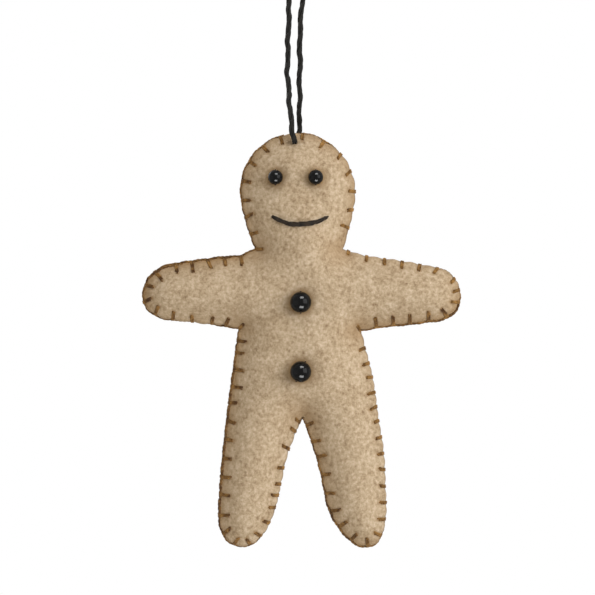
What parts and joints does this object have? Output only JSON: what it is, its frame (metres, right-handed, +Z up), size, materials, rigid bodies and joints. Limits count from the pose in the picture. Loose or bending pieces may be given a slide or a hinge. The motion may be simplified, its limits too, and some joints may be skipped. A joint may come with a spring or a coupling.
{
  "type": "felt christmas ornament",
  "caption": "Stuffed felt gingerbread man sewn from two panels with blanket stitch, with bead eyes and buttons, a thread mouth and a knotted cord loop to hang it by.",
  "frame": {"origin": "the hang point, inside the top of the cord loop just under its knot", "axes": "+Z up along the hanging cord, +X to the right as seen from the front, +Y away from the viewer, so the face looks along -Y"},
  "size_m": [0.0887, 0.0193, 0.194],
  "materials": {
    "felt": "heathered tan felt, matt and slightly hairy",
    "stuffing": "white polyester fibre filling",
    "seam_thread": "brown stranded embroidery thread",
    "black_thread": "black stranded thread",
    "bead": "polished black",
    "cord": "black twisted cotton cord with a little wax"
  },
  "bodies": {
    "hanger": {"cord_upper_left": "cord", "cord_upper_right": "cord", "cord_knot": "cord"},
    "sling": {"cord_lower": "cord"},
    "figure": {"front_panel": "felt", "back_panel": "felt", "torso_stuffing": "stuffing", "head_stuffing": "stuffing", "left_arm_stuffing": "stuffing", "right_arm_stuffing": "stuffing", "left_leg_stuffing": "stuffing", "right_leg_stuffing": "stuffing", "right_seam_thread": "seam_thread", "left_seam_thread": "seam_thread", "left_eye_thread": "black_thread", "right_eye_thread": "black_thread", "upper_button_thread": "black_thread", "lower_button_thread": "black_thread", "mouth_thread": "black_thread"},
    "left_eye": {"left_eye_bead": "bead"},
    "right_eye": {"right_eye_bead": "bead"},
    "upper_button": {"upper_button_bead": "bead"},
    "lower_button": {"lower_button_bead": "bead"}
  },
  "joints": [
    {"name": "cord_swing", "type": "hinge", "parent": "hanger", "child": "sling", "pos_m": [0, 0, -0.049], "axis": [1, 0, 0], "range_deg": [-40, 40]},
    {"name": "figure_tilt", "type": "hinge", "parent": "sling", "child": "figure", "pos_m": [-0.0004, 0, -0.068], "axis": [0, 1, 0], "range_deg": [-45, 45]},
    {"name": "left_eye_spin", "type": "hinge", "parent": "figure", "child": "left_eye", "pos_m": [-0.0056, -0.00698, -0.0777], "axis": [0, 0, 1], "continuous": true},
    {"name": "right_eye_spin", "type": "hinge", "parent": "figure", "child": "right_eye", "pos_m": [0.0054, -0.00721, -0.0777], "axis": [0, 0, 1], "continuous": true},
    {"name": "upper_button_spin", "type": "hinge", "parent": "figure", "child": "upper_button", "pos_m": [0.0013, -0.0093, -0.1118], "axis": [0, 0, 1], "continuous": true},
    {"name": "lower_button_spin", "type": "hinge", "parent": "figure", "child": "lower_button", "pos_m": [0.0013, -0.00898, -0.1307], "axis": [0.4226, 0, 0.9063], "continuous": true}
  ]
}
